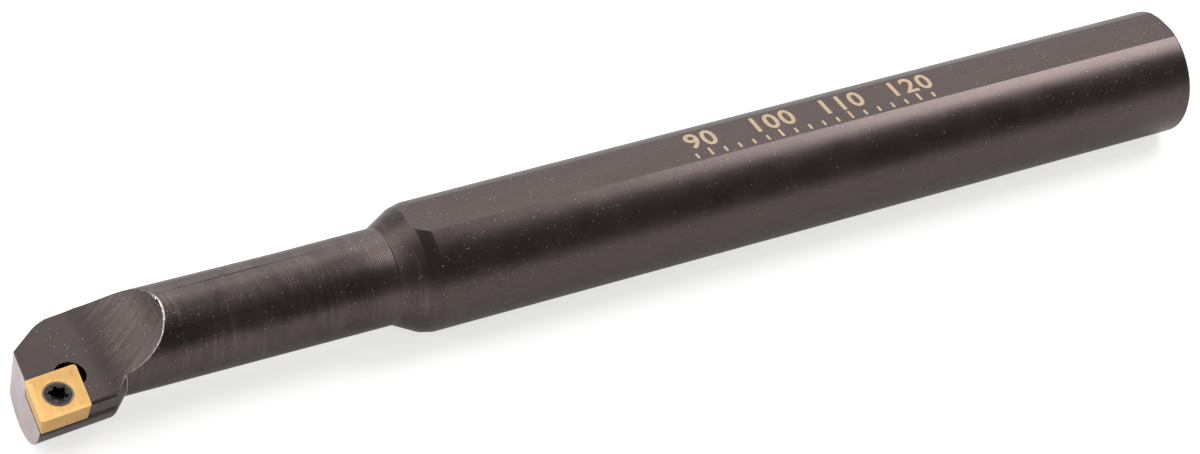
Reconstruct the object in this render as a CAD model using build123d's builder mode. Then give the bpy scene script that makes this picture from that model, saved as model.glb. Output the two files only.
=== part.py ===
"""Indexable boring bar: a turned steel bar, an 80 degree cutting insert and its screw.

The bar lies along X with its rear end face at X = 0 and its cutting head at -X. The insert cuts
towards -Y, at centre height. +Z is the normal of the upper clamping flat.
"""

import os
from math import cos, radians, sin, tan

from build123d import *

# Shank, in millimetres: a round bar with two flats for the clamping screws
shank_diameter = 15.875  # 5/8 inch
across_flats = 14.875
shank_length = 107.4
rear_chamfer = 0.4

# Neck: turned down behind the head, with a slight taper, and a shoulder up to the shank, steep
# from the neck and gentler over its crest
shoulder_length = 4.7
crest_length = 1.5
crest_diameter = 15.2
neck_rear_diameter = 11.8
neck_front_diameter = 11.45

# Head: an eccentric blank that leans towards the cutting side
overall_length = 158.75  # rear face to the nose of the insert, 6 1/4 inch
nose_reach = 9.05  # bar axis to the nose, across the bar
head_length = 10.2  # nose to the rear corner of the blank
head_front_radius = 6.9
head_rear_radius = 6.8
head_front_centre = (-1.55, -0.5)  # Y and Z of the blank's axis at the front
head_rear_centre = (-0.55, -0.6)
head_back_run = 2.0  # 45 degree shoulder from the blank to the neck
head_back_fillet = 0.6
front_setback = 0.2  # head's front face behind the insert's front edge
corner_relief_start = 11.2  # nose to where the slanting cut leaves the front face
corner_relief_angle = 38.0
corner_relief_length = 4.0
corner_relief_blend = (2.6, 1.05)  # run of the curve that ends the slanting cut
corner_relief_runout = 4.0

# Rake: the top of the head falls towards the cutting side
rake_tilt = 9.5
insert_proud = 0.35  # insert's top over the milled top of the head
scoop_radius = 11.6
scoop_start = 8.5  # nose to the start of the scoop that runs out into the neck

# Insert: 80 degree rhombus with 7 degree flanks
inscribed_circle = 6.35
insert_thickness = 2.38
insert_angle = 80.0
flank_angle = 7.0
side_edge_angle = 5.0  # side edge against the bar axis
nose_radius = 0.4
land_width = 0.15
groove_width = 0.5
groove_depth = 0.12
hole_clearance = 0.3  # insert's hole over the screw's thread
countersink_clearance = 0.3  # mouth of the countersink over the screw's head
countersink_angle = 60.0

# Insert screw: M2.5 with a countersunk head and a six-lobed socket
thread_diameter = 2.5
thread_clearance = 0.04
screw_length = 6.0
screw_head_diameter = 3.5
screw_head_rim = 0.14
screw_tip_chamfer = 0.3
socket_outer_diameter = 2.3
socket_inner_diameter = 1.66
socket_flute_radius = 0.46
socket_tip_fillet = 0.07
socket_depth = 1.0

# Pocket
relief_radius = 1.9
relief_inset = 1.0  # centre of the corner relief inside both pocket walls
relief_extra_depth = 0.25
pocket_overrun = 4.0  # how far the pocket's cutter leaves the open sides

# Derived places
nose_x = -overall_length
shoulder_x = -shank_length
neck_rear_x = shoulder_x - shoulder_length
head_rear_x = nose_x + head_length
neck_front_x = head_rear_x + head_back_run
flat_height = across_flats / 2
insert_side = inscribed_circle / sin(radians(insert_angle))
front_edge_angle = side_edge_angle + insert_angle
floor_inset = insert_thickness * tan(radians(flank_angle))
clear_of_bar = 1.5 * shank_diameter

# The rake plane carries the insert's top edges: origin at the nose, X along the bar
rake_normal = (0, -sin(radians(rake_tilt)), cos(radians(rake_tilt)))
rake_plane = Plane(origin=(nose_x, -nose_reach, 0), x_dir=(1, 0, 0), z_dir=rake_normal)
floor_plane = rake_plane.offset(-insert_thickness)
# Section plane along the bar and square to the rake plane, used for the top of the head
section_plane = Plane(origin=rake_plane.origin, x_dir=(1, 0, 0), z_dir=-rake_plane.y_dir)

side_edge = Vector(1, 0).rotate(Axis.Z, side_edge_angle) * insert_side
front_edge = Vector(1, 0).rotate(Axis.Z, front_edge_angle) * insert_side
seat_corner = side_edge + front_edge
insert_centre = seat_corner * 0.5
hole_diameter = thread_diameter + hole_clearance
countersink_diameter = screw_head_diameter + countersink_clearance

screw_plane = Plane(origin=rake_plane.from_local_coords(insert_centre), x_dir=(1, 0, 0), z_dir=rake_normal)
countersink_slope = tan(radians(countersink_angle / 2))
screw_seat_depth = (countersink_diameter - screw_head_diameter) / 2 / countersink_slope
screw_cone_height = (screw_head_diameter - thread_diameter) / 2 / countersink_slope
screw_top = screw_head_rim - screw_seat_depth


def neck_radius(x):
    """Radius of the tapered neck at a place along the bar."""
    share = (x - neck_front_x) / (neck_rear_x - neck_front_x)
    return (neck_front_diameter + share * (neck_rear_diameter - neck_front_diameter)) / 2


def rhombus(inset=0.0):
    """Corners of the insert's outline, moved inwards from its edges."""
    scale = 1 - 2 * inset / inscribed_circle
    corners = [Vector(0, 0), side_edge, seat_corner, front_edge]
    moved = [insert_centre + (corner - insert_centre) * scale for corner in corners]
    return [(corner.X, corner.Y) for corner in moved]


# ---------------------------------------------------------------- steel bar
with BuildPart() as steel_bar:
    # Turned blank: shank, shoulder and neck, with the neck run on to the front as a core
    with BuildSketch(Plane.XZ):
        with BuildLine():
            Polyline(
                (nose_x, 0),
                (nose_x, neck_radius(nose_x)),
                (neck_rear_x, neck_rear_diameter / 2),
                (shoulder_x - crest_length, crest_diameter / 2),
                (shoulder_x, shank_diameter / 2),
                (-rear_chamfer, shank_diameter / 2),
                (0, shank_diameter / 2 - rear_chamfer),
                (0, 0),
                close=True,
            )
        make_face()
    revolve(axis=Axis.X)

    # Eccentric head blank, which narrows behind the cutting edge
    with BuildSketch(Plane.YZ.offset(nose_x)):
        with Locations(head_front_centre):
            Circle(head_front_radius)
    with BuildSketch(Plane.YZ.offset(head_rear_x)):
        with Locations(head_rear_centre):
            Circle(head_rear_radius)
    loft(ruled=True)
    with BuildSketch(Plane.YZ.offset(head_rear_x)):
        with Locations(head_rear_centre):
            Circle(head_rear_radius)
    with BuildSketch(Plane.YZ.offset(neck_front_x)):
        with Locations(head_rear_centre):
            Circle(head_rear_radius - head_back_run)
    loft(ruled=True)
    back_corner = steel_bar.edges().filter_by(GeomType.CIRCLE).filter_by(
        lambda edge: abs(edge.radius - head_rear_radius) < 0.01
    )
    fillet(back_corner, head_back_fillet)

    # Top of the head: the rake face's level, then a scoop that runs out through the neck
    with BuildSketch(section_plane):
        with BuildLine():
            scoop_centre = (scoop_start, scoop_radius - insert_proud)
            scoop = CenterArc(scoop_centre, scoop_radius, -90, 75)
            Polyline(
                scoop @ 1,
                (scoop_start + scoop_radius, clear_of_bar),
                (-clear_of_bar, clear_of_bar),
                (-clear_of_bar, -insert_proud),
                scoop @ 0,
            )
        make_face()
    extrude(amount=clear_of_bar, both=True, mode=Mode.SUBTRACT)

    # Front face, parallel to the insert's front edge, and the slanting cut on the far corner,
    # both square to the rake plane
    with BuildSketch(rake_plane):
        with BuildLine():
            front_slope = 1 / tan(radians(front_edge_angle))
            front_face = Line(
                (front_setback - front_slope * clear_of_bar, -clear_of_bar),
                (front_setback + front_slope * corner_relief_start, corner_relief_start),
            )
            slant = PolarLine(front_face @ 1, corner_relief_length, corner_relief_angle)
            blend_end = slant @ 1 + Vector(*corner_relief_blend)
            blend = TangentArc(slant @ 1, blend_end, tangent=slant % 1)
            runout = Line(blend_end, blend_end + (blend % 1) * corner_relief_runout)
            Polyline(
                runout @ 1,
                (runout @ 1) + Vector(0, clear_of_bar),
                (-clear_of_bar, (runout @ 1).Y + clear_of_bar),
                (-clear_of_bar, -clear_of_bar),
                front_face @ 0,
            )
        make_face()
    extrude(amount=clear_of_bar, both=True, mode=Mode.SUBTRACT)

    # Clamping flats, above and below, milled along the whole bar
    with BuildSketch(Plane.YZ):
        with Locations((0, flat_height), (0, -flat_height - shank_diameter)):
            Rectangle(clear_of_bar, shank_diameter, align=(Align.CENTER, Align.MIN))
    extrude(amount=-overall_length - 1, mode=Mode.SUBTRACT)

    # Pocket with walls that follow the insert's flanks, open towards both cutting edges
    with BuildSketch(floor_plane):
        with BuildLine():
            inward = (side_edge.normalized() + front_edge.normalized()) / sin(radians(insert_angle))
            floor_corner = seat_corner - inward * floor_inset
            front_wall_end = floor_corner - side_edge.normalized() * (insert_side + pocket_overrun)
            side_wall_end = floor_corner - front_edge.normalized() * (insert_side + pocket_overrun)
            outer_corner = front_wall_end + side_wall_end - floor_corner
            Polyline(
                (floor_corner.X, floor_corner.Y),
                (front_wall_end.X, front_wall_end.Y),
                (outer_corner.X, outer_corner.Y),
                (side_wall_end.X, side_wall_end.Y),
                close=True,
            )
        make_face()
    extrude(amount=insert_thickness, taper=-flank_angle, mode=Mode.SUBTRACT)

    # Round relief that clears the insert's inner corner
    with BuildSketch(floor_plane.offset(-relief_extra_depth)):
        relief_centre = seat_corner - inward * relief_inset
        with Locations((relief_centre.X, relief_centre.Y)):
            Circle(relief_radius)
    extrude(amount=insert_thickness + relief_extra_depth, mode=Mode.SUBTRACT)

    # Tapped hole, through to the underside
    with BuildSketch(screw_plane):
        Circle(thread_diameter / 2 + thread_clearance)
    extrude(amount=-clear_of_bar, mode=Mode.SUBTRACT)

steel_bar.part.label = "steel_bar"

# ---------------------------------------------------------------- cutting insert
with BuildPart() as cutting_insert:
    with BuildSketch(rake_plane):
        with BuildLine():
            Polyline(*rhombus(), close=True)
        make_face()
        fillet(vertices(), nose_radius)
    extrude(amount=-insert_thickness, taper=flank_angle)

    # Moulded chip groove: a sloping ring inside the edge land, down to a flat floor
    with BuildSketch(rake_plane):
        with BuildLine():
            Polyline(*rhombus(land_width), close=True)
        make_face()
        fillet(vertices(), nose_radius - land_width)
    with BuildSketch(rake_plane.offset(-groove_depth)):
        with BuildLine():
            Polyline(*rhombus(land_width + groove_width), close=True)
        make_face()
        fillet(vertices(), nose_radius - land_width)
    loft(ruled=True, mode=Mode.SUBTRACT)

    with Locations(screw_plane):
        CounterSinkHole(
            radius=hole_diameter / 2,
            counter_sink_radius=countersink_diameter / 2,
            counter_sink_angle=countersink_angle,
        )

cutting_insert.part.label = "cutting_insert"

# ---------------------------------------------------------------- insert screw
with BuildPart() as insert_screw:
    with BuildSketch(Plane(origin=screw_plane.origin, x_dir=(1, 0, 0), z_dir=-screw_plane.y_dir)):
        with BuildLine():
            cone_top = screw_top - screw_head_rim
            cone_foot = cone_top - screw_cone_height
            tip = screw_top - screw_length
            Polyline(
                (0, screw_top),
                (screw_head_diameter / 2, screw_top),
                (screw_head_diameter / 2, cone_top),
                (thread_diameter / 2, cone_foot),
                (thread_diameter / 2, tip + screw_tip_chamfer),
                (thread_diameter / 2 - screw_tip_chamfer, tip),
                (0, tip),
                close=True,
            )
        make_face()
    revolve(axis=Axis(screw_plane.origin, screw_plane.z_dir))

    # Six-lobed socket
    with BuildSketch(screw_plane.offset(screw_top)):
        Circle(socket_outer_diameter / 2)
        with PolarLocations(socket_inner_diameter / 2 + socket_flute_radius, 6):
            Circle(socket_flute_radius, mode=Mode.SUBTRACT)
        fillet(vertices(), socket_tip_fillet)
    extrude(amount=-socket_depth, mode=Mode.SUBTRACT)

insert_screw.part.label = "insert_screw"

os.makedirs("parts", exist_ok=True)
export_step(steel_bar.part, "parts/steel_bar.step")
export_step(cutting_insert.part, "parts/cutting_insert.step")
export_step(insert_screw.part, "parts/insert_screw.step")
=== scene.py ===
"""Boring bar: looks for the turned bar, the coated insert, its screw and a depth scale."""

import math

import bmesh
import bpy
from bpy.props import FloatProperty, FloatVectorProperty, IntProperty, PointerProperty
from bpy.types import Operator, Panel, PropertyGroup
from mathutils import Matrix, Vector


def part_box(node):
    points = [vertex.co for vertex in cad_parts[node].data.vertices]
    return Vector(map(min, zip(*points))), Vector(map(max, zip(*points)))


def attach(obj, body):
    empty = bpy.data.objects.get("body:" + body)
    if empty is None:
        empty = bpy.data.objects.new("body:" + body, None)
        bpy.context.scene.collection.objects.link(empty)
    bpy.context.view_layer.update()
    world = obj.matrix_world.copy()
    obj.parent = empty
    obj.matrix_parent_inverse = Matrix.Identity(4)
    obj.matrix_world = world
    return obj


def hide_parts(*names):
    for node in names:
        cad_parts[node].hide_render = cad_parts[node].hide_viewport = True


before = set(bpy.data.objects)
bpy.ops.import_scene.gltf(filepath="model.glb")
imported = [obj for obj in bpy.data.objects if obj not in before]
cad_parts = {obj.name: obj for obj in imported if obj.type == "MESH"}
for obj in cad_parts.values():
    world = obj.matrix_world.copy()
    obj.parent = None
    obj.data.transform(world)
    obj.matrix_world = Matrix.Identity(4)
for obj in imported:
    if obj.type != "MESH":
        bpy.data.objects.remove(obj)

bl_info = {
    "name": "Boring Bar",
    "version": (1, 0, 0),
    "blender": (4, 5, 0),
    "location": "3D View > Sidebar > Boring Bar",
    "description": "Makes a boring bar with a coated insert, its screw and a depth scale",
    "category": "Object",
}

MM = 0.001

# Places taken from the frame, and the nose of the insert
BAR_LOW, BAR_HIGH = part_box("steel_bar")
FLAT_HEIGHT = BAR_HIGH.z
SHANK_RADIUS = BAR_HIGH.y
NOSE_X = -158.75 * MM
NOSE_REACH = 9.05 * MM

# Turned blank: place along the bar and radius, from the rear end to the neck
REAR_CHAMFER = 0.4 * MM
SHANK_START_X = -107.4 * MM
CREST = Vector((-108.9, 7.6)) * MM
NECK_REAR = Vector((-112.1, 5.9)) * MM
NECK_TAPER = 0.175 / 34.45
REAR_ROUND = 0.1 * MM
SHOULDER_ROUND = 0.16 * MM

# Blank of the head: a leaning, slightly tapered round with a 45 degree back
HEAD_FRONT_RADIUS = 6.9 * MM
HEAD_REAR_RADIUS = 6.8 * MM
HEAD_FRONT_CENTRE = Vector((-158.75, -1.55, -0.5)) * MM
HEAD_REAR_CENTRE = Vector((-148.55, -0.55, -0.6)) * MM
HEAD_BACK_RUN = 2.0 * MM
HEAD_BACK_CENTRE = HEAD_REAR_CENTRE + Vector((HEAD_BACK_RUN, 0, 0))
HEAD_ROUND = 0.25 * MM

# Fairing on the far side, from the rear of the head into the neck
FAIRING_FRONT_RADIUS = 5.63 * MM
FAIRING_REAR_RADIUS = 5.76 * MM
FAIRING_FRONT_CENTRE = Vector((-152.5, 0.68, 0.06)) * MM
FAIRING_REAR_CENTRE = Vector((-120.0, 0.05, 0)) * MM

# Cuts on the head, on the plane of the insert's cutting edges
RAKE_TILT = math.radians(9.5)
RAKE_SINK = 0.35 * MM
SCOOP_RADIUS = 11.6 * MM
SCOOP_START = 8.5 * MM
SCOOP_SWEEP = math.radians(75)
FRONT_SETBACK = 0.2 * MM
FRONT_ANGLE = math.radians(85.0)
SLANT_START = 11.2 * MM
SLANT_LENGTH = 4.0 * MM
SLANT_ANGLE = math.radians(38.0)
SLANT_BEND = math.radians(32.0)
SLANT_BEND_RADIUS = 5.09 * MM
SLANT_RUN_OUT = 6 * MM

# Insert and its pocket
SIDE_ANGLE = math.radians(5.0)
INSERT_ANGLE = math.radians(80.0)
INSERT_SIDE = 6.35 * MM / math.sin(INSERT_ANGLE)
INSERT_THICKNESS = 2.38 * MM
FLANK_ANGLE = math.radians(7.0)
RELIEF_RADIUS = 1.9 * MM
RELIEF_INSET = 1.0 * MM
RELIEF_DEPTH = 0.25 * MM
RELIEF_HEIGHT = 6 * MM
TAPPED_RADIUS = 1.29 * MM
TAPPED_START = 1 * MM
POCKET_OVERRUN = 4 * MM

RAKE_NORMAL = Vector((0, -math.sin(RAKE_TILT), math.cos(RAKE_TILT)))
RAKE_ACROSS = Vector((0, math.cos(RAKE_TILT), math.sin(RAKE_TILT)))
RAKE_PLACE = Matrix.Translation((NOSE_X, -NOSE_REACH, 0)) @ Matrix.Rotation(RAKE_TILT, 4, "X")
FRONT_NORMAL = Vector((-math.sin(FRONT_ANGLE), 0, 0)) + RAKE_ACROSS * math.cos(FRONT_ANGLE)
SIDE_EDGE = Vector((math.cos(SIDE_ANGLE), math.sin(SIDE_ANGLE), 0)) * INSERT_SIDE
FRONT_EDGE = Vector((math.cos(FRONT_ANGLE), math.sin(FRONT_ANGLE), 0)) * INSERT_SIDE
SEAT_CORNER = SIDE_EDGE + FRONT_EDGE
OUT_OF_CORNER = SEAT_CORNER / INSERT_SIDE / math.sin(INSERT_ANGLE)
SCREW_CENTRE = RAKE_PLACE @ (SEAT_CORNER / 2)
SCOOP_START_X = NOSE_X + SCOOP_START
SCOOP_END_X = NOSE_X + 18.0 * MM
NECK_END_X = NECK_REAR.x

# More than the bar's thickness, for tools that cut right through
CLEAR = 30 * MM
ROUND_STEPS = 256

# Where one finish of the bar ends and the next begins: along the bar, and below and round the insert's middle
TOP_END_X = SCOOP_START_X + 1.0 * MM
HEAD_SIDE_END_X = SCOOP_START_X + 2.2 * MM
NECK_FACES_END_X = SHANK_START_X - 0.01 * MM
BROKEN_END_X = SCOOP_END_X + 6 * MM
POCKET_TOP = -1.2 * MM
POCKET_FOOT = -3.2 * MM
POCKET_REACH = 5.2 * MM

# How near a face lies to a flat, and the cosines by which its direction is told
FLAT_SLACK = 0.02 * MM
PARALLEL = 0.9999
NEARLY_PARALLEL = 0.999
SCOOP_RISE = 0.15
SCOOP_SIDEWAYS = 0.02

# Angles, in degrees, above which an edge is shaded sharp and above which it is broken
SHARP_ANGLE = 17.0
INSERT_SHARP_ANGLE = 21.0
SCREW_SHARP_ANGLE = 24.0
BROKEN_ANGLE = 33.0
SCREW_BROKEN_ANGLE = 50.0

# Rim between the scoop and the neck: its widest place, how far off it has narrowed, and the share left there
RIM_MIDDLE_Y = -0.8 * MM
RIM_HALF_LENGTH = 3.4 * MM
THIN_EDGE = 0.3

# Patterns: colour of the dust, and sizes and places in millimetres
DUST_COLOUR = (0.88, 0.84, 0.8)
DUST_SIZE = 0.055
DUST_SPACING = 0.42
FACING_PITCH = 0.22
SCREW_RING_PITCH = 0.12
# Radii of the painted highlight on the screw, a pale ring round the rim of its head
SCREW_HIGHLIGHT_START = 1.58
SCREW_HIGHLIGHT_END = 1.68
LAND_START = 2.6
LAND_BLUR = 0.12

# Wave textures repeat every 2 pi / 20 units at a scale of 1
WAVE_PERIOD = math.pi / 10

# Depth scale: foot of the ticks, rise of the numbers over it, lift over the flat, and steps in millimetres
SCALE_FOOT_Y = -2.35 * MM
NUMBER_RISE = 1.95 * MM
ETCHING_LIFT = 0.004 * MM
NUMBER_STEP = 10
TICK_STEP = 2
LONG_TICK = 1.5 * MM
SHORT_TICK = 1.0 * MM
TICK_ROUND = 0.45

# Numbers: height and growth of a digit as shares of the font's size, spacing, and steps of a curve
DIGIT_SHARE = 0.73
DIGIT_GROWTH = 0.02
DIGIT_SPACING = 1.12
DIGIT_STEPS = 4

# Stage: lamps with their place, target, width and depth, and the setting that holds the brightness
FLOOR_CENTRE = (-0.08, 0.4)
FLOOR_HALF_WIDTH = 2.5
FLOOR_GLOW = 0.3
FLOOR_CAMERA_GLOW = 0.42
BAR_MIDDLE = (-0.07, 0, 0)
LAMPS = (
    ("overhead_lamp", (0.33, 0.02, 0.45), BAR_MIDDLE, 0.3, 0.3, "overhead"),
    ("rear_lamp", (0.12, 0.44, 0.31), BAR_MIDDLE, 0.7, 0.56, "behind"),
    ("head_lamp", (0.07, 0.21, 0.4), (-0.155, 0, 0), 0.22, 0.22, "head"),
    ("left_lamp", (-0.38, 0.23, 0.4), (-0.14, 0, 0), 0.36, 0.36, "left"),
    ("side_lamp", (-0.55, 0.05, 0.25), BAR_MIDDLE, 0.4, 0.4, "side"),
)
CAMERA_PLACE = (-0.288553, -0.323224, 0.296253)
CAMERA_TURN = math.radians(-32.534)
CAMERA_TIP = math.radians(90 - 37.826)
CAMERA_ROLL = math.radians(6.412)

# What all colours and all lengths among the settings have in common
COLOUR = {"subtype": "COLOR", "size": 3, "min": 0, "max": 1}
LENGTH = {"unit": "LENGTH", "subtype": "DISTANCE", "precision": 6}


# ------------------------------------------------------------------ settings
class BarSettings(PropertyGroup):
    """Sizes and colours of the steel bar's finish."""

    oxide: FloatVectorProperty(
        name="Oxide",
        description="Colour of the dark oxide on the steel",
        default=(0.102, 0.08, 0.077),
        **COLOUR,
    )
    # Painted light: the front face's pale colour stands in for the bright light it catches, which the lamps
    # don't give
    ground: FloatVectorProperty(
        name="Painted front light",
        description="Colour of the ground front face, where the oxide is thin",
        default=(0.66, 0.56, 0.56),
        **COLOUR,
    )
    # Partly painted highlight: bare steel on broken edges, pale enough to stand in for the bright line along
    # the scoop's rim
    worn: FloatVectorProperty(
        name="Worn edge and highlight",
        description="Colour of bare steel on broken edges",
        default=(0.85, 0.79, 0.74),
        **COLOUR,
    )
    edge_width: FloatProperty(
        name="Edge width",
        description="Greatest width of the worn rim of the scoop; the head's other edges are 0.3 of it",
        default=0.24 * MM,
        **LENGTH,
    )
    milling_pitch: FloatProperty(
        name="Milling pitch",
        description="Distance between the cutter marks across the flats",
        default=0.32 * MM,
        **LENGTH,
    )
    turning_pitch: FloatProperty(
        name="Turning pitch",
        description="Distance between the turned grooves of the neck and the shoulder",
        default=0.22 * MM,
        **LENGTH,
    )


class InsertSettings(PropertyGroup):
    """Colours and edge of the cutting insert."""

    coating: FloatVectorProperty(
        name="Coating",
        description="Colour of the gold coating",
        default=(0.88, 0.53, 0.19),
        **COLOUR,
    )
    smudge: FloatVectorProperty(
        name="Smudge",
        description="Colour of the darker smudges on the coating",
        default=(0.66, 0.36, 0.1),
        **COLOUR,
    )
    hone: FloatProperty(
        name="Hone",
        description="Width of the honed cutting edges",
        default=0.035 * MM,
        **LENGTH,
    )


class ScrewSettings(PropertyGroup):
    """Colour and edge of the insert screw."""

    black: FloatVectorProperty(
        name="Black",
        description="Colour of the blackened screw",
        default=(0.05, 0.044, 0.041),
        **COLOUR,
    )
    edge: FloatProperty(
        name="Edge",
        description="Width of the rounding on the head and the socket",
        default=0.05 * MM,
        **LENGTH,
    )


class ScaleSettings(PropertyGroup):
    """Sizes and colour of the depth scale etched on the upper flat."""

    etching: FloatVectorProperty(
        name="Etching",
        description="Colour of the etched ticks and numbers",
        default=(0.7, 0.52, 0.34),
        **COLOUR,
    )
    first: IntProperty(
        name="First number",
        description="Lowest depth shown, in millimetres from the nose of the insert",
        default=90,
    )
    count: IntProperty(
        name="Numbers",
        description="How many numbers the scale has, ten millimetres apart",
        default=4,
        min=1,
        max=8,
    )
    digit_height: FloatProperty(
        name="Digit height",
        description="Height of the numbers",
        default=2.9 * MM,
        **LENGTH,
    )
    stroke: FloatProperty(
        name="Stroke",
        description="Width of the ticks",
        default=0.36 * MM,
        **LENGTH,
    )


class StageSettings(PropertyGroup):
    """Floor, lamps and camera around the bar."""

    floor: FloatVectorProperty(
        name="Floor",
        description="Colour of the floor",
        default=(0.6, 0.6, 0.6),
        **COLOUR,
    )
    world: FloatProperty(
        name="Room",
        description="Brightness of the dim room around the bar",
        default=0.16,
        min=0,
    )
    overhead: FloatProperty(
        name="Overhead lamp",
        description="Brightness of the large lamp above the rear of the bar",
        default=6.0,
        min=0,
    )
    behind: FloatProperty(
        name="Rear lamp",
        description="Brightness of the large soft lamp behind the bar",
        default=1.3,
        min=0,
    )
    head: FloatProperty(
        name="Head lamp",
        description="Brightness of the lamp whose light the top of the head turns to the camera",
        default=1.1,
        min=0,
    )
    left: FloatProperty(
        name="Left lamp",
        description="Brightness of the lamp above and behind the head",
        default=1.5,
        min=0,
    )
    side: FloatProperty(
        name="Side lamp",
        description="Brightness of the soft lamp beyond the head",
        default=2.2,
        min=0,
    )
    lens: FloatProperty(
        name="Lens",
        description="Focal length of the camera, in millimetres",
        default=119.932,
        min=10,
    )


# ------------------------------------------------------------------ mesh helpers
def object_from(work, name):
    """A new object with the mesh of a finished bmesh."""
    mesh = bpy.data.meshes.new(name)
    work.to_mesh(mesh)
    work.free()
    piece = bpy.data.objects.new(name, mesh)
    bpy.context.scene.collection.objects.link(piece)
    return piece


def merged_copy(node, name):
    """A new object with the frame's mesh of a node, its loose triangles merged and its flat faces joined."""
    work = bmesh.new()
    work.from_mesh(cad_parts[node].data)
    bmesh.ops.remove_doubles(work, verts=work.verts, dist=0.0001 * MM)
    bmesh.ops.dissolve_limit(
        work, angle_limit=math.radians(0.3), verts=work.verts, edges=work.edges, delimit={"NORMAL"}
    )
    piece = object_from(work, name)
    old_normals = piece.data.attributes.get("custom_normal")
    if old_normals:
        piece.data.attributes.remove(old_normals)
    return piece


def shade(piece, angle=SHARP_ANGLE):
    """Smooth shading, with edges over an angle in degrees kept sharp."""
    piece.data.shade_smooth()
    piece.data.set_sharp_from_angle(angle=math.radians(angle))


def break_edges(piece, width, material, share):
    """A live bevel on the edges: share(edge) gives each one's part of the full width."""
    weights = piece.data.attributes.new("bevel_weight_edge", "FLOAT", "EDGE")
    work = bmesh.new()
    work.from_mesh(piece.data)
    for edge in work.edges:
        if len(edge.link_faces) == 2:
            weights.data[edge.index].value = share(edge)
    work.free()
    bevel = piece.modifiers.new("broken edges", "BEVEL")
    bevel.limit_method = "WEIGHT"
    bevel.width = width
    bevel.segments = 2
    bevel.profile = 0.5
    bevel.use_clamp_overlap = False
    bevel.material = material
    bevel.harden_normals = False


def steeper_than(angle):
    """For break_edges: the full width on edges over an angle in degrees, and none on the others."""
    return lambda edge: float(edge.calc_face_angle() > math.radians(angle))


def solid(name, build):
    """A new object from a build(work) that fills a bmesh, with its faces made to point outwards."""
    work = bmesh.new()
    build(work)
    bmesh.ops.remove_doubles(work, verts=work.verts, dist=0.0001 * MM)
    bmesh.ops.recalc_face_normals(work, faces=work.faces)
    return object_from(work, name)


def combine(piece, tool, operation):
    """Adds a solid to the piece or cuts it away, and removes the tool."""
    cut = piece.modifiers.new("cut", "BOOLEAN")
    cut.operation = operation
    cut.solver = "EXACT"
    cut.object = tool
    bpy.context.view_layer.update()
    mesh = bpy.data.meshes.new_from_object(piece.evaluated_get(bpy.context.evaluated_depsgraph_get()))
    piece.modifiers.remove(cut)
    old = piece.data
    piece.data = mesh
    bpy.data.meshes.remove(old)
    bpy.data.objects.remove(tool)
    if len(mesh.polygons) < 8:
        raise RuntimeError("the cut left nothing of " + piece.name)


def joined_flats(piece):
    """Merges doubled corners and joins faces that lie in one plane."""
    work = bmesh.new()
    work.from_mesh(piece.data)
    bmesh.ops.remove_doubles(work, verts=work.verts, dist=0.002 * MM)
    bmesh.ops.dissolve_degenerate(work, edges=work.edges, dist=0.001 * MM)
    bmesh.ops.dissolve_limit(work, angle_limit=math.radians(0.2), verts=work.verts, edges=work.edges)
    work.to_mesh(piece.data)
    work.free()


def extruded(work, faces, move, growth=1.0, centre=Vector((0, 0, 0))):
    """Extrudes faces, grows the copies across the bar about a centre, moves them and returns the new parts."""
    made = bmesh.ops.extrude_face_region(work, geom=faces, use_keep_orig=True)["geom"]
    moved = [part for part in made if isinstance(part, bmesh.types.BMVert)]
    bmesh.ops.scale(work, verts=moved, vec=(1, growth, growth), space=Matrix.Translation(-centre))
    bmesh.ops.translate(work, verts=moved, vec=move)
    return made


def disc(work, centre, radius):
    """A round face square to the bar, as the first face of a new bmesh."""
    place = Matrix.Translation(centre) @ Matrix.Rotation(math.pi / 2, 4, "Y")
    bmesh.ops.create_circle(work, cap_ends=True, segments=ROUND_STEPS, radius=radius, matrix=place)
    work.faces.ensure_lookup_table()
    return work.faces[0]


def pin(work, centre, radius, length, segments):
    """A pin square to the plane of the insert's edges, with its middle at a centre taken from the nose."""
    bmesh.ops.create_cone(
        work,
        cap_ends=True,
        segments=segments,
        radius1=radius,
        radius2=radius,
        depth=length,
        matrix=RAKE_PLACE @ Matrix.Translation(centre),
    )


# ------------------------------------------------------------------ shape of the bar
def turned_blank(work):
    """Shank, shoulder and neck as one turned profile, with the neck run on to the front."""
    front = Vector((NOSE_X, NECK_REAR.y + NECK_TAPER * (NOSE_X - NECK_REAR.x)))
    profile = (
        (NOSE_X, 0),
        front,
        NECK_REAR,
        CREST,
        (SHANK_START_X, SHANK_RADIUS),
        (-REAR_CHAMFER, SHANK_RADIUS),
        (0, SHANK_RADIUS - REAR_CHAMFER),
        (0, 0),
    )
    corners = [work.verts.new((x, 0, radius)) for x, radius in profile]
    for first, second in zip(corners, corners[1:]):
        work.edges.new((first, second))
    rounds = (
        (corners[6], REAR_ROUND),
        (corners[5], REAR_ROUND),
        (corners[4], SHOULDER_ROUND),
        (corners[3], SHOULDER_ROUND),
    )
    for corner, reach in rounds:
        bmesh.ops.bevel(
            work, geom=[corner], offset=reach, affect="VERTICES", segments=4, profile=0.5, material=-1
        )
    bmesh.ops.spin(
        work,
        geom=work.verts[:] + work.edges[:],
        cent=(0, 0, 0),
        axis=(1, 0, 0),
        angle=math.tau,
        steps=ROUND_STEPS,
        use_merge=True,
    )


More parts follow.
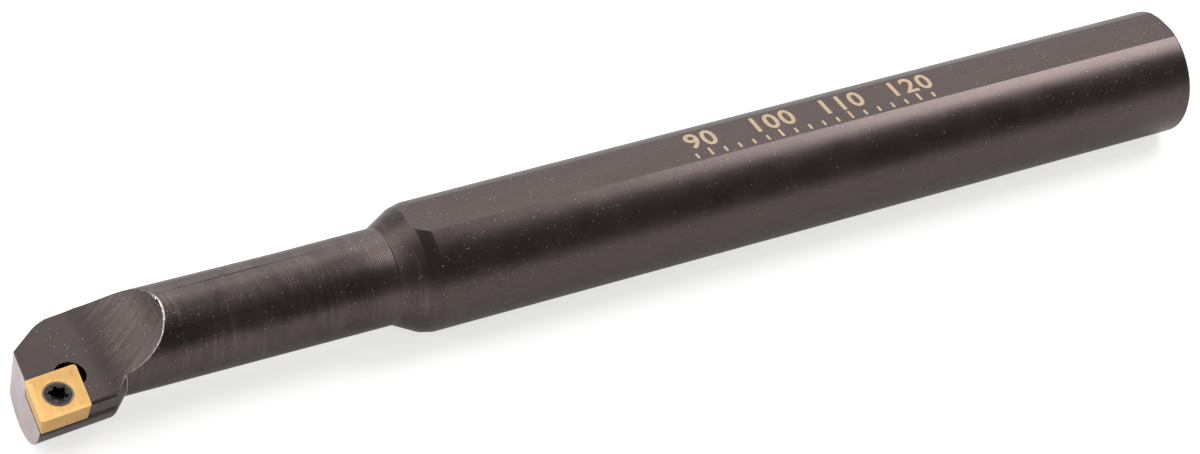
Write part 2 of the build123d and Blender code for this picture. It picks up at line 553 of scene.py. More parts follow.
def head_blank(work):
    """The leaning round of the head, with a rounded corner and a 45 degree back."""
    front = disc(work, HEAD_FRONT_CENTRE, HEAD_FRONT_RADIUS)
    growth = HEAD_REAR_RADIUS / HEAD_FRONT_RADIUS
    made = extruded(work, [front], HEAD_REAR_CENTRE - HEAD_FRONT_CENTRE, growth, HEAD_FRONT_CENTRE)
    rear = next(part for part in made if isinstance(part, bmesh.types.BMFace))
    growth = 1 - HEAD_BACK_RUN / HEAD_REAR_RADIUS
    extruded(work, [rear], HEAD_BACK_CENTRE - HEAD_REAR_CENTRE, growth, HEAD_REAR_CENTRE)
    bmesh.ops.delete(work, geom=[rear], context="FACES_ONLY")
    corner = [
        edge
        for edge in work.edges
        if all(abs(end.co.x - HEAD_REAR_CENTRE.x) < 0.001 * MM for end in edge.verts)
    ]
    bmesh.ops.bevel(
        work, geom=corner, offset=HEAD_ROUND, affect="EDGES", segments=6, profile=0.5, material=-1
    )


def fairing(work):
    """A leaning, slightly tapered round that carries the head's far side into the neck."""
    front = disc(work, FAIRING_FRONT_CENTRE, FAIRING_FRONT_RADIUS)
    growth = FAIRING_REAR_RADIUS / FAIRING_FRONT_RADIUS
    extruded(work, [front], FAIRING_REAR_CENTRE - FAIRING_FRONT_CENTRE, growth, FAIRING_FRONT_CENTRE)


def top_tool(work):
    """Clears the top of the head to just below the insert's edges, and the scoop that runs up to the neck."""
    front = work.verts.new((-CLEAR, 0, -RAKE_SINK))
    start = work.verts.new((SCOOP_START, 0, -RAKE_SINK))
    work.edges.new((front, start))
    bmesh.ops.spin(
        work,
        geom=[start],
        cent=(SCOOP_START, 0, SCOOP_RADIUS - RAKE_SINK),
        axis=(0, -1, 0),
        angle=SCOOP_SWEEP,
        steps=ROUND_STEPS,
    )
    work.verts.ensure_lookup_table()
    corners = [max(work.verts, key=lambda vert: vert.co.x)]
    for place in ((corners[0].co.x, 0, CLEAR), (-CLEAR, 0, CLEAR)):
        corners.append(work.verts.new(place))
        work.edges.new(corners[-2:])
    work.edges.new((corners[-1], front))
    section = bmesh.ops.contextual_create(work, geom=work.edges[:])["faces"]
    bmesh.ops.translate(work, verts=work.verts, vec=(0, -CLEAR, 0))
    extruded(work, section, (0, 2 * CLEAR, 0))
    work.transform(RAKE_PLACE)


def side_tool(work):
    """Clears the front face, the slanting cut on the far corner and the hollow that ends it."""
    slope = 1 / math.tan(FRONT_ANGLE)
    start = Vector((FRONT_SETBACK - slope * CLEAR, -CLEAR))
    corner = Vector((FRONT_SETBACK + slope * SLANT_START, SLANT_START))
    bend = SLANT_BEND_RADIUS * math.tan(SLANT_BEND / 2)
    slant = Vector((math.cos(SLANT_ANGLE), math.sin(SLANT_ANGLE))) * (SLANT_LENGTH + bend)
    end_angle = SLANT_ANGLE - SLANT_BEND
    run = Vector((math.cos(end_angle), math.sin(end_angle))) * (SLANT_RUN_OUT + bend)
    outline = [start, corner, corner + slant, corner + slant + run]
    outline += [Vector((outline[3].x, CLEAR)), Vector((-CLEAR, CLEAR)), Vector((-CLEAR, -CLEAR))]
    corners = [work.verts.new((*point, -CLEAR)) for point in outline]
    work.faces.new(corners)
    bmesh.ops.bevel(
        work, geom=[corners[2]], offset=bend, affect="VERTICES", segments=24, profile=0.5, material=-1
    )
    extruded(work, work.faces[:], (0, 0, 2 * CLEAR))
    work.transform(RAKE_PLACE)


def flat_tools(work):
    """Two blocks that leave the upper and lower clamping flats."""
    for side in (1, -1):
        block = bmesh.ops.create_cube(work, size=1)["verts"]
        bmesh.ops.scale(work, verts=block, vec=(-NOSE_X + CLEAR, 2 * CLEAR, 2 * CLEAR))
        bmesh.ops.translate(work, verts=block, vec=(NOSE_X / 2, 0, side * (FLAT_HEIGHT + CLEAR)))


def pocket_tool(work):
    """The insert's pocket: its floor and two walls that follow the insert's flanks."""
    sunk = math.tan(FLANK_ANGLE)
    floor_corner = SEAT_CORNER - OUT_OF_CORNER * INSERT_THICKNESS * sunk
    reach_out = (INSERT_SIDE + POCKET_OVERRUN) / INSERT_SIDE
    along, across = SIDE_EDGE * reach_out, FRONT_EDGE * reach_out
    outline = [floor_corner, floor_corner - along, floor_corner - along - across, floor_corner - across]
    slide = OUT_OF_CORNER * (INSERT_THICKNESS * 2) * sunk
    foot = work.faces.new([work.verts.new((*corner.xy, -INSERT_THICKNESS)) for corner in outline])
    extruded(work, [foot], Vector((0, 0, 2 * INSERT_THICKNESS)) + slide)
    work.transform(RAKE_PLACE)


def relief_tool(work):
    """Round relief behind the insert's inner corner."""
    low = -INSERT_THICKNESS - RELIEF_DEPTH
    centre = SEAT_CORNER - OUT_OF_CORNER * RELIEF_INSET + Vector((0, 0, low + RELIEF_HEIGHT / 2))
    pin(work, centre, RELIEF_RADIUS, RELIEF_HEIGHT, 96)


def tapped_tool(work):
    """The tapped hole under the insert, through to the underside."""
    centre = SEAT_CORNER / 2 - Vector((0, 0, CLEAR / 2 + TAPPED_START))
    pin(work, centre, TAPPED_RADIUS, CLEAR, 64)


# ------------------------------------------------------------------ finishes
class Finish:
    """A material in the making, with short calls for the nodes its pattern needs."""

    def __init__(self, name, metallic, roughness, colour):
        self.material = bpy.data.materials.new(name)
        self.material.use_nodes = True
        self.tree = self.material.node_tree
        self.shader = self.tree.nodes["Principled BSDF"]
        self.shader.inputs["Metallic"].default_value = metallic
        self.shader.inputs["Roughness"].default_value = roughness
        self.shader.inputs["Base Color"].default_value = (*colour, 1)
        self.material.diffuse_color = (*colour, 1)

    def node(self, kind, **settings):
        """A new node of a kind, with its settings."""
        made = self.tree.nodes.new(kind)
        for key, value in settings.items():
            setattr(made, key, value)
        return made

    def link(self, start, end):
        """Joins an output to an input."""
        self.tree.links.new(start, end)

    def millimetres(self, centre=(0, 0, 0), turn=(0, 0, 0), stretch=(1, 1, 1)):
        """Object coordinates in millimetres about a centre, turned and then stretched."""
        place = self.node("ShaderNodeTexCoord").outputs["Object"]
        moved = self.node("ShaderNodeMapping", vector_type="POINT")
        moved.inputs["Location"].default_value = [-c / MM for c in centre]
        moved.inputs["Scale"].default_value = (1 / MM,) * 3
        self.link(place, moved.inputs["Vector"])
        turned = self.node("ShaderNodeMapping", vector_type="POINT")
        turned.inputs["Rotation"].default_value = turn
        self.link(moved.outputs["Vector"], turned.inputs["Vector"])
        scaled = self.node("ShaderNodeMapping", vector_type="POINT")
        scaled.inputs["Scale"].default_value = stretch
        self.link(turned.outputs["Vector"], scaled.inputs["Vector"])
        return scaled.outputs["Vector"]

    def noise(self, place, size, detail=3.0, shift=0.0):
        """Noise whose lumps are about size millimetres across, from 0 to 1."""
        made = self.node("ShaderNodeTexNoise", noise_dimensions="4D")
        made.inputs["W"].default_value = shift
        made.inputs["Scale"].default_value = 1 / size
        made.inputs["Detail"].default_value = detail
        made.inputs["Roughness"].default_value = 0.55
        self.link(place, made.inputs["Vector"])
        return made.outputs["Fac"]

    def grooves(self, place, pitch, wobble, rings=None):
        """Cutter marks with a pitch in millimetres, from 0 to 1: bands along X, or rings about an axis."""
        made = self.node("ShaderNodeTexWave", wave_type="RINGS" if rings else "BANDS")
        if rings:
            made.rings_direction = rings
        made.inputs["Scale"].default_value = WAVE_PERIOD / pitch
        made.inputs["Distortion"].default_value = wobble
        made.inputs["Detail"].default_value = 2.0
        made.inputs["Detail Scale"].default_value = 0.6
        self.link(place, made.inputs["Vector"])
        return made.outputs["Fac"]

    def spread(self, value, low, high, start=0.0, end=1.0):
        """Moves the part of a value between low and high to start and end, and holds it beyond."""
        made = self.node("ShaderNodeMapRange", clamp=True)
        self.link(value, made.inputs["Value"])
        made.inputs["From Min"].default_value = low
        made.inputs["From Max"].default_value = high
        made.inputs["To Min"].default_value = start
        made.inputs["To Max"].default_value = end
        return made.outputs["Result"]

    def math(self, operation, first, second):
        """Arithmetic on two values, each a number or an output."""
        made = self.node("ShaderNodeMath", operation=operation)
        for socket, value in zip(made.inputs, (first, second)):
            if isinstance(value, (int, float)):
                socket.default_value = value
            else:
                self.link(value, socket)
        return made.outputs["Value"]

    def mix(self, share, first, second):
        """Colour that goes from the first to the second with the share."""
        made = self.node("ShaderNodeMix", data_type="RGBA")
        self.link(share, made.inputs["Factor"])
        for socket, value in ((made.inputs[6], first), (made.inputs[7], second)):
            if isinstance(value, bpy.types.NodeSocket):
                self.link(value, socket)
            else:
                socket.default_value = (*value, 1)
        return made.outputs[2]

    def part_of_place(self, axis):
        """Place along one of the three axes, in millimetres."""
        split = self.node("ShaderNodeSeparateXYZ")
        self.link(self.millimetres(), split.inputs["Vector"])
        return split.outputs[axis]

    def dust(self, share):
        """Bright specks in a share of the cells, more of them in some places, from 0 to 1."""
        place = self.millimetres()
        cells = self.node("ShaderNodeTexVoronoi", feature="F1", voronoi_dimensions="3D")
        cells.inputs["Scale"].default_value = 1 / DUST_SPACING
        self.link(place, cells.inputs["Vector"])
        split = self.node("ShaderNodeSeparateColor")
        self.link(cells.outputs["Color"], split.inputs["Color"])
        crowd = self.spread(self.noise(place, 7.0, detail=1, shift=11.0), 0.42, 0.62, 0.25 * share, share)
        chosen = self.math("LESS_THAN", split.outputs["Red"], crowd)
        largest = DUST_SIZE / DUST_SPACING
        radius = self.spread(split.outputs["Green"], 0, 1, 0.4 * largest, largest)
        inside = self.math("SUBTRACT", radius, cells.outputs["Distance"])
        soft = self.spread(inside, 0, 0.2 * largest)
        return self.math("MULTIPLY", chosen, soft)

    def finish(self, colour, roughness, height, depth, metallic=None):
        """Joins the pattern to the shader; depth is the height of the bumps in metres."""
        self.link(colour, self.shader.inputs["Base Color"])
        self.link(roughness, self.shader.inputs["Roughness"])
        if metallic is not None:
            self.link(metallic, self.shader.inputs["Metallic"])
        bump = self.node("ShaderNodeBump")
        bump.inputs["Strength"].default_value = 1.0
        bump.inputs["Distance"].default_value = depth
        self.link(height, bump.inputs["Height"])
        self.link(bump.outputs["Normal"], self.shader.inputs["Normal"])
        return self.material


def scaled(colour, factor):
    """A colour made lighter or darker."""
    return tuple(min(1.0, part * factor) for part in colour)


def oxide_finish(
    name, settings, marks, roughness, depth, contrast, tone=1.0, dust_share=1.0, bright=1.6, grit=0.35
):
    """Dark oxide on steel: marks(finish), where there are any, returns the cutter marks from 0 to 1."""
    made = Finish(name, 1.0, roughness, scaled(settings.oxide, tone))
    place = made.millimetres()
    cloud = made.noise(place, 3.5, detail=4, shift=2.0)
    grain = made.noise(place, 0.12, detail=2, shift=5.0)
    dark = scaled(settings.oxide, tone * (1 - contrast))
    light = scaled(settings.oxide, tone * (1 + contrast))
    shade_share = made.math("ADD", made.math("MULTIPLY", cloud, 0.6), made.math("MULTIPLY", grain, 0.4))
    colour = made.mix(made.spread(shade_share, 0.35, 0.65), dark, light)
    height = grain
    if marks:
        lines = marks(made)
        share = made.spread(lines, 0.0, 1.0, 0.0, 0.7)
        colour = made.mix(share, colour, scaled(settings.oxide, tone * bright))
        height = made.math("ADD", made.math("MULTIPLY", grain, grit), lines)
    specks = made.dust(dust_share)
    colour = made.mix(specks, colour, DUST_COLOUR)
    rough = made.spread(made.math("ADD", cloud, specks), 0.3, 1.3, roughness - 0.05, roughness + 0.12)
    metal = made.spread(specks, 0, 1, 1, 0)
    return made.finish(colour, rough, height, depth, metal)


def shank_finish(settings):
    """The shank: fine grinding lines round the bar, nearly hidden by the oxide."""

    def marks(made):
        streaks = made.noise(made.millimetres(stretch=(1, 0.06, 0.06)), 0.16, detail=2)
        along = made.noise(made.millimetres(stretch=(0.04, 1, 1)), 0.25, detail=2, shift=7.0)
        both = made.math("ADD", made.math("MULTIPLY", streaks, 0.5), made.math("MULTIPLY", along, 0.5))
        return made.spread(both, 0.35, 0.75, 0, 0.55)

    return oxide_finish("shank_oxide", settings, marks, 0.36, 0.003 * MM, contrast=0.12)


def flat_finish(settings):
    """The clamping flats: cutter marks straight across, a little uneven."""

    def marks(made):
        place = made.millimetres(turn=(0, 0, math.radians(4)))
        lines = made.grooves(place, settings.milling_pitch / MM, wobble=0.6)
        patches = made.noise(made.millimetres(stretch=(0.25, 1, 1)), 2.2, detail=3, shift=3.0)
        deep = made.spread(lines, 0.25, 0.9)
        return made.math("MULTIPLY", deep, made.spread(patches, 0.35, 0.62, 0.4, 1.0))

    return oxide_finish(
        "milled_flat",
        settings,
        marks,
        0.42,
        0.02 * MM,
        contrast=0.12,
        tone=0.78,
        dust_share=0.9,
        bright=1.9,
        grit=0.2,
    )


def neck_finish(settings):
    """Neck and shoulder: turned grooves, deep by the shoulder and cloudy along the neck."""

    def marks(made):
        lines = made.grooves(made.millimetres(), settings.turning_pitch / MM, wobble=0.5)
        streaks = made.noise(made.millimetres(stretch=(1, 0.08, 0.08)), 0.45, detail=3, shift=1.0)
        patches = made.noise(made.millimetres(stretch=(1, 0.5, 0.5)), 2.6, detail=4, shift=9.0)
        cloudy = made.math("MULTIPLY", made.spread(streaks, 0.42, 0.68), made.spread(patches, 0.4, 0.66))
        along = made.part_of_place("X")
        end = NECK_END_X / MM
        near_shoulder = made.spread(along, end - 5.5, end - 1.0)
        on_shoulder = made.spread(along, end - 0.1, end + 1.6, 1.0, 0.12)
        deep = made.math("MULTIPLY", made.math("MULTIPLY", near_shoulder, on_shoulder), lines)
        soft = made.math("MULTIPLY", made.math("MULTIPLY", lines, 0.35), made.spread(patches, 0.4, 0.6))
        return made.math("MAXIMUM", deep, made.math("MAXIMUM", cloudy, soft))

    return oxide_finish("turned_neck", settings, marks, 0.37, 0.02 * MM, contrast=0.2, tone=0.95, bright=2.0)


def head_finish(settings):
    """The milled top of the head and its scoop: dull in front, streaked where it runs up to the neck; the
    streaks are painted lighter in the scoop's middle as a painted sheen.
    """

    def marks(made):
        place = made.millimetres(turn=(0, 0, math.radians(-20)), stretch=(0.05, 1, 0.05))
        fine = made.noise(place, 0.13, detail=2)
        place = made.millimetres(turn=(0, 0, math.radians(-26)), stretch=(0.07, 1, 0.07))
        streaks = made.noise(place, 0.24, detail=3, shift=4.0)
        both = made.math("ADD", made.math("MULTIPLY", streaks, 0.65), made.math("MULTIPLY", fine, 0.35))
        # Painted sheen along with the real streaks: they are lightest in the middle of the scoop and dimmer at
        # its start and end
        start = SCOOP_START_X / MM
        along = made.part_of_place("X")
        rise = made.spread(along, start + 0.5, start + 3.5, 0.1, 1.0)
        fall = made.spread(along, start + 4.5, start + 7.5, 1.0, 0.55)
        painted_sheen_ramp = made.math("MULTIPLY", rise, fall)
        return made.math("MULTIPLY", made.spread(both, 0.41, 0.62), painted_sheen_ramp)

    return oxide_finish(
        "head_top", settings, marks, 0.44, 0.01 * MM, contrast=0.1, tone=0.92, bright=2.0, grit=0.1
    )


def side_finish(settings):
    """The blank of the head and the cuts on its sides."""

    def marks(made):
        lines = made.noise(made.millimetres(stretch=(1, 0.1, 0.1)), 0.25, detail=2)
        return made.spread(lines, 0.45, 0.8, 0, 0.5)

    return oxide_finish("head_side", settings, marks, 0.42, 0.004 * MM, contrast=0.2, tone=1.25)


def front_finish(settings):
    """The front face, whose pale colour is painted light: it stands in for the bright light the face catches,
    which the lamps don't give.
    """
    made = Finish("front_painted_light", 1.0, 0.34, settings.ground)
    place = made.millimetres(turn=(math.radians(25), 0, 0), stretch=(1, 0.12, 1))
    lines = made.noise(place, 0.15, detail=3)
    cloud = made.noise(made.millimetres(), 2.2, detail=3, shift=3.0)
    dark, light = scaled(settings.ground, 0.86), scaled(settings.ground, 1.1)
    colour = made.mix(made.spread(cloud, 0.35, 0.65), dark, light)
    colour = made.mix(made.spread(lines, 0.45, 0.7, 0, 0.35), colour, scaled(settings.ground, 0.75))
    rough = made.spread(cloud, 0.3, 0.7, 0.3, 0.42)
    return made.finish(colour, rough, lines, 0.004 * MM)


def end_finish(settings):
    """The faced rear end: rings of the facing tool."""

    def marks(made):
        return made.grooves(made.millimetres(), FACING_PITCH, wobble=0.3, rings="X")

    return oxide_finish("faced_end", settings, marks, 0.36, 0.008 * MM, contrast=0.15)


def pocket_finish(settings):
    """Walls and floor of the insert pocket and its relief, darker than the rest: painted shade, where shade
    falls under and beside the insert.
    """
    # Painted shade: the oxide at about a third of its tone darkens the pocket and the relief
    return oxide_finish(
        "pocket_painted_shade", settings, None, 0.45, 0.003 * MM, contrast=0.2, tone=0.35, dust_share=0.1
    )


def worn_finish(settings):
    """Broken edges: bare steel on the scoop's rim, made pale as a painted highlight on its near side and
    fading out on its far side, and oxide with bright nicks elsewhere.
    """
    made = Finish("worn_edge_and_highlight", 1.0, 0.34, settings.worn)
    place = made.millimetres()
    patches = made.noise(place, 0.8, detail=4, shift=6.0)
    nicks = made.noise(place, 0.25, detail=2, shift=8.0)
    start = SCOOP_START_X / MM
    # Painted highlight along with the wear: the rim is bare towards the neck and on its near side, and fades
    # back to oxide on its far side
    rim = made.spread(made.part_of_place("X"), start + 2.3, start + 4.5)
    rim = made.math("MULTIPLY", rim, made.spread(made.part_of_place("Y"), -0.4, 1.6, 1.0, 0.0))
    bare_and_highlight = made.math("MULTIPLY", rim, made.spread(patches, 0.25, 0.45, 0.55, 1.0))
    nicked = made.spread(made.math("ADD", patches, nicks), 1.02, 1.25, 0.04, 0.4)
    share = made.math("MAXIMUM", bare_and_highlight, nicked)
    colour = made.mix(share, settings.oxide, settings.worn)
    rough = made.spread(nicks, 0.3, 0.7, 0.28, 0.42)
    return made.finish(colour, rough, nicks, 0.006 * MM)


def coating_finish(settings):
    """The insert's coating: satin gold with smudges and a paler land along its edges."""
    made = Finish("insert_coating", 0.55, 0.46, settings.coating)
    cloud = made.noise(made.millimetres(), 1.3, detail=4, shift=2.0)
    streaks = made.noise(made.millimetres(turn=(0, 0, -FRONT_ANGLE), stretch=(0.25, 1, 1)), 0.6, detail=3)
    centred = made.millimetres(centre=SCREW_CENTRE, turn=(-RAKE_TILT, 0, 0))
    reaches = []
    for edge in (SIDE_EDGE, FRONT_EDGE):
        across = made.node("ShaderNodeVectorMath", operation="DOT_PRODUCT")
        made.link(centred, across.inputs[0])
        across.inputs[1].default_value = Vector((-edge.y, edge.x, 0)).normalized()
        reaches.append(made.math("ABSOLUTE", across.outputs["Value"], 0.0))
    reach = made.math("MAXIMUM", *reaches)
    inside = made.spread(reach, LAND_START - LAND_BLUR, LAND_START + LAND_BLUR, 1.0, 0.0)
    grain = made.noise(made.millimetres(), 0.05, detail=2)
    dark, light = scaled(settings.coating, 0.94), scaled(settings.coating, 1.06)
    colour = made.mix(made.spread(cloud, 0.3, 0.7), dark, light)
    smudged = made.math("MULTIPLY", made.spread(streaks, 0.42, 0.7, 0.06, 0.6), inside)
    colour = made.mix(smudged, colour, settings.smudge)
    rough = made.spread(cloud, 0.3, 0.7, 0.42, 0.52)
    return made.finish(colour, rough, made.math("ADD", grain, made.math("MULTIPLY", cloud, 0.5)), 0.003 * MM)


def screw_finish(settings):
    """The blackened screw: glossy, with turned rings, and a pale ring round the rim of its head that is a
    painted highlight.
    """
    made = Finish("screw_black", 1.0, 0.28, settings.black)
    place = made.millimetres(centre=SCREW_CENTRE, turn=(-RAKE_TILT, 0, 0))
    rings = made.grooves(place, SCREW_RING_PITCH, wobble=0.4, rings="Z")
    cloud = made.noise(made.millimetres(), 0.5, detail=3, shift=3.0)
    dark, light = scaled(settings.black, 0.7), scaled(settings.black, 1.7)
    colour = made.mix(made.spread(cloud, 0.4, 0.7), dark, light)
    reach = made.node("ShaderNodeVectorMath", operation="LENGTH")
    made.link(place, reach.inputs[0])
    # Painted highlight: a pale ring, six times as light as the black, round the rim of the head
    rim = made.spread(reach.outputs["Value"], SCREW_HIGHLIGHT_START, SCREW_HIGHLIGHT_END, 0, 0.7)
    colour = made.mix(rim, colour, scaled(settings.black, 6.0))
    rough = made.spread(cloud, 0.3, 0.7, 0.2, 0.36)
    return made.finish(colour, rough, rings, 0.004 * MM)


def etching_finish(settings):
    """The etched marks: tan, dull and a little uneven."""
    made = Finish("etched_marks", 0.0, 0.7, settings.etching)
    cloud = made.noise(made.millimetres(), 0.5, detail=4)
    grain = made.noise(made.millimetres(), 0.06, detail=2, shift=3.0)
    colour = made.mix(made.spread(cloud, 0.35, 0.7), settings.etching, scaled(settings.etching, 0.78))
    colour = made.mix(made.spread(grain, 0.6, 0.75, 0, 0.35), colour, scaled(settings.etching, 0.5))
    rough = made.spread(cloud, 0.3, 0.7, 0.62, 0.8)
    return made.finish(colour, rough, grain, 0.003 * MM)


# ------------------------------------------------------------------ pieces
def bar_face_kind(face):
    """Which of the bar's finishes a face takes, from where it is and which way it looks."""
    normal = face.normal
    centre = face.calc_center_median()
    over_rake = (centre - SCREW_CENTRE).dot(RAKE_NORMAL)
    rise = normal.dot(RAKE_NORMAL)
    if abs(normal.z) > PARALLEL and abs(abs(centre.z) - FLAT_HEIGHT) < FLAT_SLACK:
        return "flat"
    if normal.x > NEARLY_PARALLEL:
        return "end"
    if normal.dot(FRONT_NORMAL) > NEARLY_PARALLEL:
        return "front"
    if rise > PARALLEL and centre.x < TOP_END_X:
        return "head" if over_rake > POCKET_TOP else "pocket"
    if centre.x < SCOOP_END_X and rise > SCOOP_RISE and abs(normal.dot(RAKE_ACROSS)) < SCOOP_SIDEWAYS:
        return "head"
    if (centre - SCREW_CENTRE).length < POCKET_REACH and over_rake > POCKET_FOOT:
        return "pocket"
    if centre.x < HEAD_SIDE_END_X:
        return "side"
    if centre.x < NECK_FACES_END_X:
        return "neck"
    return "shank"


class BORINGBAR_OT_steel_bar(Operator):
    """Makes the turned and milled steel bar with its broken edges and oxide finish"""

    bl_idname = "boring_bar.steel_bar"
    bl_label = "Steel Bar"

    def execute(self, context):
        settings = context.scene.bar_settings
        finishes = {
            "shank": shank_finish(settings),
            "flat": flat_finish(settings),
            "neck": neck_finish(settings),
            "head": head_finish(settings),
            "side": side_finish(settings),
            "front": front_finish(settings),
            "end": end_finish(settings),
            "pocket": pocket_finish(settings),
            "worn": worn_finish(settings),
        }
        order = list(finishes)
        bar = solid("bar", turned_blank)
        combine(bar, solid("head", head_blank), "UNION")
        combine(bar, solid("fairing", fairing), "UNION")
        for tool in (top_tool, side_tool, flat_tools, pocket_tool, relief_tool, tapped_tool):
            combine(bar, solid("tool", tool), "DIFFERENCE")
        joined_flats(bar)
        for finish in finishes.values():
            bar.data.materials.append(finish)
        work = bmesh.new()
        work.from_mesh(bar.data)
        for face in work.faces:
            face.material_index = order.index(bar_face_kind(face))
        work.to_mesh(bar.data)
        work.free()
        shade(bar)

        rim = {order.index("head"), order.index("neck")}

        def broken(edge):
            """Share of the full width that an edge is broken by."""
            middle = (edge.verts[0].co + edge.verts[1].co) / 2
            if middle.x >= BROKEN_END_X or edge.calc_face_angle() < math.radians(BROKEN_ANGLE):
                return 0.0
            if {face.material_index for face in edge.link_faces} == rim:
                nearness = max(0.0, 1 - abs(middle.y - RIM_MIDDLE_Y) / RIM_HALF_LENGTH)
                return THIN_EDGE + (1 - THIN_EDGE) * nearness
            return THIN_EDGE

        break_edges(bar, settings.edge_width, order.index("worn"), broken)
        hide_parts("steel_bar")
        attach(bar, "root")
        return {"FINISHED"}


class BORINGBAR_OT_insert(Operator):
    """Makes the coated cutting insert with honed edges"""

    bl_idname = "boring_bar.insert"
    bl_label = "Cutting Insert"

    def execute(self, context):
        settings = context.scene.insert_settings
        insert = merged_copy("cutting_insert", "insert")
        insert.data.materials.append(coating_finish(settings))
        shade(insert, INSERT_SHARP_ANGLE)
        break_edges(insert, settings.hone, -1, steeper_than(BROKEN_ANGLE))
        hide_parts("cutting_insert")
        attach(insert, "root")
        return {"FINISHED"}


class BORINGBAR_OT_screw(Operator):
    """Makes the blackened insert screw with its rounded socket"""

    bl_idname = "boring_bar.screw"
    bl_label = "Insert Screw"

    def execute(self, context):
        settings = context.scene.screw_settings
        screw = merged_copy("insert_screw", "screw")
        screw.data.materials.append(screw_finish(settings))
        shade(screw, SCREW_SHARP_ANGLE)
        break_edges(screw, settings.edge, -1, steeper_than(SCREW_BROKEN_ANGLE))
        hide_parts("insert_screw")
        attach(screw, "root")
        return {"FINISHED"}


def number_mesh(text, height):
    """A flat mesh of a number, centred on its foot, with the digits' height given."""
    curve = bpy.data.curves.new("number", "FONT")
    curve.body = text
    curve.align_x = "CENTER"
    curve.size = height / DIGIT_SHARE
    curve.space_character = DIGIT_SPACING
    curve.offset = DIGIT_GROWTH * curve.size
    curve.resolution_u = DIGIT_STEPS
    lettering = bpy.data.objects.new("number", curve)
    bpy.context.scene.collection.objects.link(lettering)
    bpy.context.view_layer.update()
    mesh = bpy.data.meshes.new_from_object(lettering)
    bpy.data.objects.remove(lettering)
    bpy.data.curves.remove(curve)
    return mesh


class BORINGBAR_OT_depth_scale(Operator):
    """Makes the etched scale that shows how far the bar reaches, in millimetres from the insert's nose"""

    bl_idname = "boring_bar.depth_scale"
    bl_label = "Depth Scale"

    def execute(self, context):
        settings = context.scene.scale_settings
        surface = FLAT_HEIGHT + ETCHING_LIFT
        last = settings.first + NUMBER_STEP * (settings.count - 1)
        work = bmesh.new()
        for depth in range(settings.first - TICK_STEP, last + TICK_STEP + 1, TICK_STEP):
            length = LONG_TICK if depth % NUMBER_STEP == 0 else SHORT_TICK
            place = Matrix.Translation((NOSE_X + depth * MM, SCALE_FOOT_Y + length / 2, surface))
            shape = Matrix.Diagonal((settings.stroke, length, 1, 1))
            tick = bmesh.ops.create_grid(work, x_segments=1, y_segments=1, size=0.5, matrix=place @ shape)
            bmesh.ops.bevel(
                work,
                geom=tick["verts"],
                offset=settings.stroke * TICK_ROUND,
                affect="VERTICES",
                segments=3,
                profile=0.5,
                material=-1,
            )
        for depth in range(settings.first, last + 1, NUMBER_STEP):
            number = number_mesh(str(depth), settings.digit_height)
            number.transform(Matrix.Translation((NOSE_X + depth * MM, SCALE_FOOT_Y + NUMBER_RISE, surface)))
            work.from_mesh(number)
            bpy.data.meshes.remove(number)
        scale = object_from(work, "depth_scale")
        scale.data.materials.append(etching_finish(settings))
        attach(scale, "root")
        return {"FINISHED"}


# ------------------------------------------------------------------ stage
def soft_lamp(name, place, target, width, depth, brightness):
    """A rectangular lamp that faces a target, with the brightness of its surface given."""
    lamp = bpy.data.lights.new(name, "AREA")
    lamp.shape = "RECTANGLE"
    lamp.size = width
    lamp.size_y = depth
    lamp.energy = brightness * math.pi * width * depth
    holder = bpy.data.objects.new(name, lamp)
    bpy.context.scene.collection.objects.link(holder)
    holder.location = place
    holder.rotation_euler = (Vector(target) - Vector(place)).to_track_quat("-Z", "Y").to_euler()


def floor_finish(colour):
    """Pale floor that the camera and the metal see as white, and that keeps the bar's shadow."""
    made = Finish("floor", 0.0, 0.9, colour)
    rays = made.node("ShaderNodeLightPath")
    by_camera = rays.outputs["Is Camera Ray"]
    seen = made.math("MAXIMUM", by_camera, rays.outputs["Is Glossy Ray"])
    seen = made.math("MAXIMUM", seen, rays.outputs["Is Transmission Ray"])
    made.shader.inputs["Emission Color"].default_value = (1, 1, 0.99, 1)
    glow = made.math("MULTIPLY", seen, FLOOR_GLOW)
    glow = made.math("ADD", glow, made.math("MULTIPLY", by_camera, FLOOR_CAMERA_GLOW))
    made.link(glow, made.shader.inputs["Emission Strength"])
    return made.material


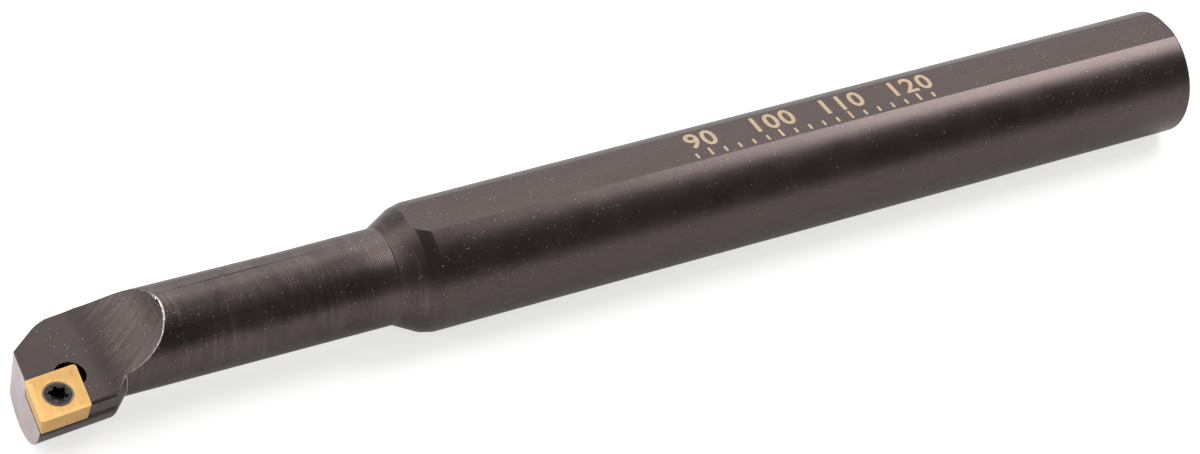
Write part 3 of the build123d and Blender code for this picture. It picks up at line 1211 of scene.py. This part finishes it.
class BORINGBAR_OT_stage(Operator):
    """Makes the floor, the lamps, the room and the camera"""

    bl_idname = "boring_bar.stage"
    bl_label = "Stage"

    def execute(self, context):
        settings = context.scene.stage_settings
        work = bmesh.new()
        place = Matrix.Translation((*FLOOR_CENTRE, BAR_LOW.z))
        bmesh.ops.create_grid(work, x_segments=2, y_segments=2, size=FLOOR_HALF_WIDTH, matrix=place)
        floor = object_from(work, "floor")
        floor.data.materials.append(floor_finish(settings.floor))

        for name, place, target, width, depth, brightness in LAMPS:
            soft_lamp(name, place, target, width, depth, getattr(settings, brightness))

        world = bpy.data.worlds.new("room")
        world.use_nodes = True
        background = world.node_tree.nodes["Background"]
        background.inputs["Color"].default_value = (1, 1, 1, 1)
        background.inputs["Strength"].default_value = settings.world
        context.scene.world = world
        context.scene.view_settings.view_transform = "Standard"

        lens = bpy.data.cameras.new("camera")
        lens.lens = settings.lens
        lens.sensor_width = 36
        lens.clip_start = 0.01
        lens.clip_end = 20
        camera = bpy.data.objects.new("camera", lens)
        context.scene.collection.objects.link(camera)
        turn = Matrix.Rotation(CAMERA_TURN, 4, "Z")
        tip = Matrix.Rotation(CAMERA_TIP, 4, "X")
        roll = Matrix.Rotation(CAMERA_ROLL, 4, "Z")
        camera.matrix_world = Matrix.Translation(CAMERA_PLACE) @ turn @ tip @ roll
        context.scene.camera = camera
        return {"FINISHED"}


# ------------------------------------------------------------------ add-on
OPERATORS = (
    BORINGBAR_OT_steel_bar,
    BORINGBAR_OT_insert,
    BORINGBAR_OT_screw,
    BORINGBAR_OT_depth_scale,
    BORINGBAR_OT_stage,
)
SETTINGS = {
    "bar_settings": BarSettings,
    "insert_settings": InsertSettings,
    "screw_settings": ScrewSettings,
    "scale_settings": ScaleSettings,
    "stage_settings": StageSettings,
}


class BORINGBAR_PT_pieces(Panel):
    """Lists the pieces of the boring bar"""

    bl_idname = "BORINGBAR_PT_pieces"
    bl_label = "Boring Bar"
    bl_space_type = "VIEW_3D"
    bl_region_type = "UI"
    bl_category = "Boring Bar"

    def draw(self, context):
        for operator in OPERATORS:
            self.layout.operator(operator.bl_idname)


def register():
    for made in (*SETTINGS.values(), *OPERATORS, BORINGBAR_PT_pieces):
        bpy.utils.register_class(made)
    for name, group in SETTINGS.items():
        setattr(bpy.types.Scene, name, PointerProperty(type=group))


def unregister():
    for name in SETTINGS:
        delattr(bpy.types.Scene, name)
    for made in (BORINGBAR_PT_pieces, *reversed(OPERATORS), *reversed(list(SETTINGS.values()))):
        bpy.utils.unregister_class(made)


def main():
    """Makes every piece and the stage."""
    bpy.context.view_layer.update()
    register()
    bpy.ops.boring_bar.steel_bar()
    bpy.ops.boring_bar.insert()
    bpy.ops.boring_bar.screw()
    bpy.ops.boring_bar.depth_scale()
    bpy.ops.boring_bar.stage()


if __name__ == "__main__":
    main()
